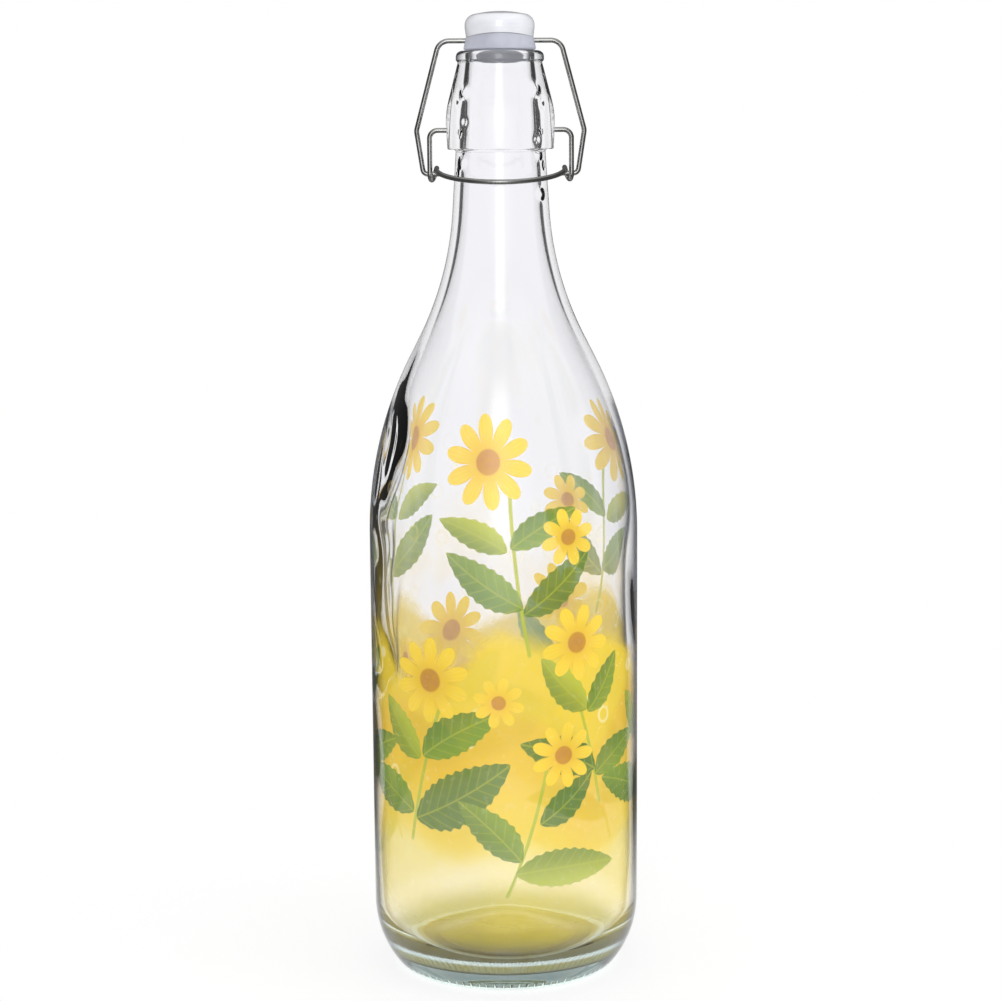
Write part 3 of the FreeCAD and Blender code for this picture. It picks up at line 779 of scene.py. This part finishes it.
def wash_inks(recipe, props, point, across, up, cloud):
    """Colour and cover of the rolling wash, its orange band, its pale foot and its drops."""
    turn = across * WAVE
    roll = (turn + 0.6).sine() * 8 + (turn * 2 + 2.1).sine() * 4 + (cloud - 0.5) * 26
    lower_roll = (turn * 2 + 0.9).sine() * 6 + (turn + 3.0).sine() * 4 + (cloud - 0.5) * 18
    wash = 1 - (up - roll).rise(*WASH_TOP)
    band = (1 - (up - lower_roll).rise(*BAND_TOP)) * (up - lower_roll).rise(*BAND_LOW)
    pale = 1 - (up - lower_roll * 0.6).rise(*PALE_TOP)
    colour = recipe.mix(band * (cloud * 0.8 + 0.2), props.wash, props.deep)
    colour = recipe.mix(pale, colour, props.pale)
    foot = 1 - up.rise(*FOOT_TOP)
    cover = wash * (0.62 + cloud * 0.36 - pale * 0.32 - foot * 0.26)
    mist = (1 - up.rise(*MIST_TOP)) * cloud.rise(0.46, 0.72) * 0.26
    tall = recipe.stretched(point, (1, 1, 0.85))
    bubble = recipe.value("ShaderNodeTexVoronoi", {"feature": "F1"},
                          {"Vector": tall, "Scale": DROP_SCALE, "Randomness": 1.0})
    zone = up.rise(*DROPS_LOW) * (1 - up.rise(*DROPS_TOP)) * cloud.rise(0.44, 0.6)
    drops = (1 - abs(bubble - 0.2).rise(0.02, 0.06)) * zone
    colour = recipe.mix(drops * 0.5, colour, props.drop)
    return colour, cover.larger(mist).larger(drops * 0.24)


class BOTTLE_OT_print(bpy.types.Operator):
    """Make the printed film that lies on the body and shoulder"""
    bl_idname = "bottle.print"
    bl_label = "Printed film"

    def execute(self, context):
        props = context.scene.bottle_print
        outline = self.shell(props.thickness / MM)
        piece = add_piece("print_film", lathe("print_film", outline, FILM_SEGMENTS))
        piece.data.set_sharp_from_angle(angle=math.radians(FILM_CREASE))
        piece.data.materials.append(ink_film(props))
        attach(piece, "bottle")
        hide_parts("printed_film")
        return {"FINISHED"}

    def shell(self, thickness):
        """Closed outline of the film: up its outer face and back down its inner face."""
        face = [point for point in rounded(GLASS_OUTSIDE, FILM_STEP)
                if FILM_LOW <= point.y <= FILM_TOP and point.x > FILM_RADIUS]
        tangents = [(face[min(i + 1, len(face) - 1)] - face[max(i - 1, 0)]).normalized()
                    for i in range(len(face))]
        normals = [Vector((tangent.y, -tangent.x)) for tangent in tangents]
        outer = [point + normal * (FILM_GAP + thickness) for point, normal in zip(face, normals)]
        inner = [point + normal * FILM_GAP for point, normal in zip(face, normals)]
        return outer + inner[::-1] + outer[:1]


def drawn_steel(props):
    """Bright drawn wire with faint smudges and fine drawing lines."""
    finish, recipe = new_finish("drawn_steel")
    point, _ = recipe.place()
    lines = recipe.noise(point, 700.0, 2.0)
    smudge = recipe.noise(point, 90.0, 1.0)
    recipe.surface(recipe.principled({
        "Base Color": recipe.mix(smudge.rise(0.35, 0.75), props.steel, props.steel_shade),
        "Metallic": 1.0, "Roughness": 0.25 + smudge * 0.06 + lines * 0.03,
        "Normal": recipe.bump(lines, 0.000002, 0.1),
    }))
    return finish


def moulded_cap(props):
    """White moulded cap with faint flow marks."""
    finish, recipe = new_finish("moulded_cap")
    point, _ = recipe.place()
    flow = recipe.noise(recipe.stretched(point, (1, 1, 2.5)), 110.0, 4.0)
    speck = recipe.noise(point, 1400.0, 2.0)
    recipe.surface(recipe.principled({
        "Base Color": recipe.mix(flow.rise(0.3, 0.8), props.cap, props.cap_shade),
        "Roughness": 0.16 + speck * 0.10, "IOR": 1.5, "Coat Weight": 0.6, "Subsurface Weight": 0.25,
        "Subsurface Radius": (0.002, 0.002, 0.0022), "Subsurface Scale": 1.0,
        "Normal": recipe.bump(speck + flow, 0.00003, 0.3),
    }))
    return finish


def soft_seal(props):
    """Milky soft seal with a satin skin, and painted shade on the part inside the mouth."""
    finish, recipe = new_finish("soft_seal")
    point, (_, _, z) = recipe.place()
    milk = recipe.noise(point, 140.0, 4.0)
    skin = recipe.noise(point, 1100.0, 3.0)
    skirt = recipe.mix(milk.rise(0.3, 0.8), props.seal, props.seal_shade)
    recipe.surface(recipe.principled({
        # Painted shade: the seal turns darker grey below the rim, inside the mouth.
        "Base Color": recipe.mix(z.rise(*PLUG_SHADE_TOP), props.shaded_plug, skirt),
        "Roughness": 0.38 + skin * 0.14, "IOR": 1.45, "Subsurface Weight": 0.5,
        "Subsurface Radius": (0.003, 0.003, 0.0035), "Subsurface Scale": 1.0,
        "Normal": recipe.bump(skin, 0.00003, 0.3),
    }))
    return finish


def give_finish(node, finish, crease):
    """Give a CAD node its finish, with sharp edges only above a crease angle in degrees."""
    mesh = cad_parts[node].data
    mesh.materials.clear()
    mesh.materials.append(finish)
    mesh.shade_smooth()
    mesh.set_sharp_from_angle(angle=math.radians(crease))


class BOTTLE_OT_stopper(bpy.types.Operator):
    """Finish the cap and its soft seal"""
    bl_idname = "bottle.stopper"
    bl_label = "Stopper"

    def execute(self, context):
        props = context.scene.bottle_closure
        give_finish("stopper_cap", moulded_cap(props), STOPPER_CREASE)
        give_finish("stopper_seal", soft_seal(props), STOPPER_CREASE)
        return {"FINISHED"}


class BOTTLE_OT_wires(bpy.types.Operator):
    """Finish the bail and the lever"""
    bl_idname = "bottle.wires"
    bl_label = "Wires"

    def execute(self, context):
        steel = drawn_steel(context.scene.bottle_closure)
        for node in ("bail_wire", "lever_wire"):
            give_finish(node, steel, WIRE_CREASE)
        return {"FINISHED"}


# Dark flags all round, the crossings up to which glass shows them, and where the floor fades.
FLAG_COUNT = 3
FLAG_CROSSINGS = 3.5
FLOOR_FADE = (0.07, 0.22)


def studio_world(props):
    """Even light, a white background, and dark studio flags where edges bend the view."""
    world = bpy.data.worlds.new("studio")
    bpy.context.scene.world = world
    world.use_nodes = True
    recipe = Recipe(world.node_tree)
    seen, glossy, through = recipe.rays("Is Camera Ray", "Is Glossy Ray", "Is Transmission Ray")
    crossings, bounces = recipe.rays("Transmission Depth", "Glossy Depth")
    x, y, z = recipe.parts(recipe.node("ShaderNodeTexCoord").outputs["Generated"])
    flags = (-(x.turn_from(y) * FLAG_COUNT).cosine()).rise(0.30, 0.65)
    flags = flags * z.rise(-0.40, -0.28) * (1 - z.rise(0.75, 0.95)) * (1 - (-y).rise(0.5, 0.85))
    bent = through * crossings.math("LESS_THAN", crossings, FLAG_CROSSINGS) * bounces.smaller(1.0)
    mirrored = glossy * (1 - through)
    strip = 1 - abs(x.turn_from(-y) + 0.05).rise(0.05, 0.26)
    strip = strip * z.rise(-0.25, 0.0) * (1 - z.rise(0.55, 0.75))
    softboxes = (-y).rise(0.82, 0.99).larger(z.rise(0.45, 0.85))
    shown = seen.larger(glossy).larger(through)
    bright = 1 - bent * flags * props.flag_share - mirrored * (1 - softboxes) * props.card_share
    bright = bright + mirrored * strip * props.strip_gain
    level = shown * bright + (1 - shown) * props.ambient
    shader = recipe.node("ShaderNodeBackground", None, {"Color": WHITE, "Strength": level})
    recipe.node("ShaderNodeOutputWorld", None, {"Surface": shader.outputs[0]})


def pale_floor(props):
    """Floor that fades into the white background away from the bottle."""
    finish, recipe = new_finish("pale_floor")
    _, (x, y, _) = recipe.place()
    far = (x * x + y * y).root().rise(*FLOOR_FADE)
    matt = recipe.principled({"Base Color": tuple(props.floor), "Roughness": 0.7})
    seen, glossy, through = recipe.rays("Is Camera Ray", "Is Glossy Ray", "Is Transmission Ray")
    pale = recipe.node("ShaderNodeEmission", None, {"Color": WHITE, "Strength": 1.0}).outputs[0]
    share = through.larger(seen.larger(glossy) * props.shadow_fill)
    clear = recipe.node("ShaderNodeBsdfTransparent").outputs[0]
    recipe.surface(recipe.blend(far, recipe.blend(share, matt, pale), clear))
    return finish


# Softboxes: places and sizes in metres, and the point that they are aimed at.
KEY_PLACE = (-0.10, -0.95, 0.55)
KEY_SIZE = (0.16, 0.6)
SIDE_PLACE = (0.85, -0.35, 0.5)
SIDE_SIZE = (0.4, 0.8)
LAMP_AIM = (0, 0, 0.17)
# The camera's sensor, in millimetres.
SENSOR_WIDTH = 36.0


class BOTTLE_OT_stage(bpy.types.Operator):
    """Set up the floor, light and camera"""
    bl_idname = "bottle.stage"
    bl_label = "Stage"

    def execute(self, context):
        props = context.scene.bottle_stage
        context.scene.view_settings.view_transform = "Standard"
        studio_world(props)
        half = props.floor_half
        corners = [(-half, -half, 0), (half, -half, 0), (half, half, 0), (-half, half, 0)]
        floor = add_piece("floor", finish_mesh("floor", corners, [(0, 1, 2, 3)]))
        floor.data.materials.append(pale_floor(props))
        self.softbox("key_softbox", KEY_PLACE, KEY_SIZE, props.key_power)
        self.softbox("side_softbox", SIDE_PLACE, SIDE_SIZE, props.key_power * props.side_share)
        self.camera(context, props)
        return {"FINISHED"}

    def softbox(self, name, place, size, power):
        """An area lamp aimed at the bottle."""
        lamp = bpy.data.lights.new(name, "AREA")
        lamp.shape = "RECTANGLE"
        lamp.size, lamp.size_y = size
        lamp.energy = power
        box = add_piece(name, lamp)
        box.location = place
        box.visible_glossy = False
        box.visible_transmission = False
        box.rotation_mode = "QUATERNION"
        aim = Vector(LAMP_AIM) - box.location
        box.rotation_quaternion = aim.to_track_quat("-Z", "Y")

    def camera(self, context, props):
        data = bpy.data.cameras.new("camera")
        data.lens = props.lens
        data.sensor_width = SENSOR_WIDTH
        camera = add_piece("camera", data)
        turn = (Matrix.Rotation(math.pi / 2 - props.camera_pitch, 4, "X")
                @ Matrix.Rotation(props.camera_roll, 4, "Z"))
        place = Matrix.Translation((props.camera_side, -props.camera_distance, props.camera_height))
        camera.matrix_world = place @ turn
        context.scene.camera = camera


class BOTTLE_PT_panel(bpy.types.Panel):
    """Lists the bottle's operators in the sidebar"""
    bl_label = "Swing top bottle"
    bl_space_type = "VIEW_3D"
    bl_region_type = "UI"
    bl_category = "Bottle"

    def draw(self, context):
        for operator in OPERATORS:
            self.layout.operator(operator.bl_idname)


GROUPS = {"bottle_glass": BottleGlass, "bottle_print": BottlePrint,
          "bottle_closure": BottleClosure, "bottle_stage": BottleStage}
OPERATORS = [BOTTLE_OT_stage, BOTTLE_OT_glass, BOTTLE_OT_print, BOTTLE_OT_stopper, BOTTLE_OT_wires]


def register():
    for group in GROUPS.values():
        bpy.utils.register_class(group)
    for name, group in GROUPS.items():
        setattr(bpy.types.Scene, name, PointerProperty(type=group))
    for cls in [*OPERATORS, BOTTLE_PT_panel]:
        bpy.utils.register_class(cls)


def unregister():
    for cls in [BOTTLE_PT_panel, *reversed(OPERATORS)]:
        bpy.utils.unregister_class(cls)
    for name, group in GROUPS.items():
        delattr(bpy.types.Scene, name)
        bpy.utils.unregister_class(group)


def main():
    register()
    bpy.ops.bottle.stage()
    bpy.ops.bottle.glass()
    bpy.ops.bottle.print()
    bpy.ops.bottle.stopper()
    bpy.ops.bottle.wires()


if __name__ == "__main__":
    main()
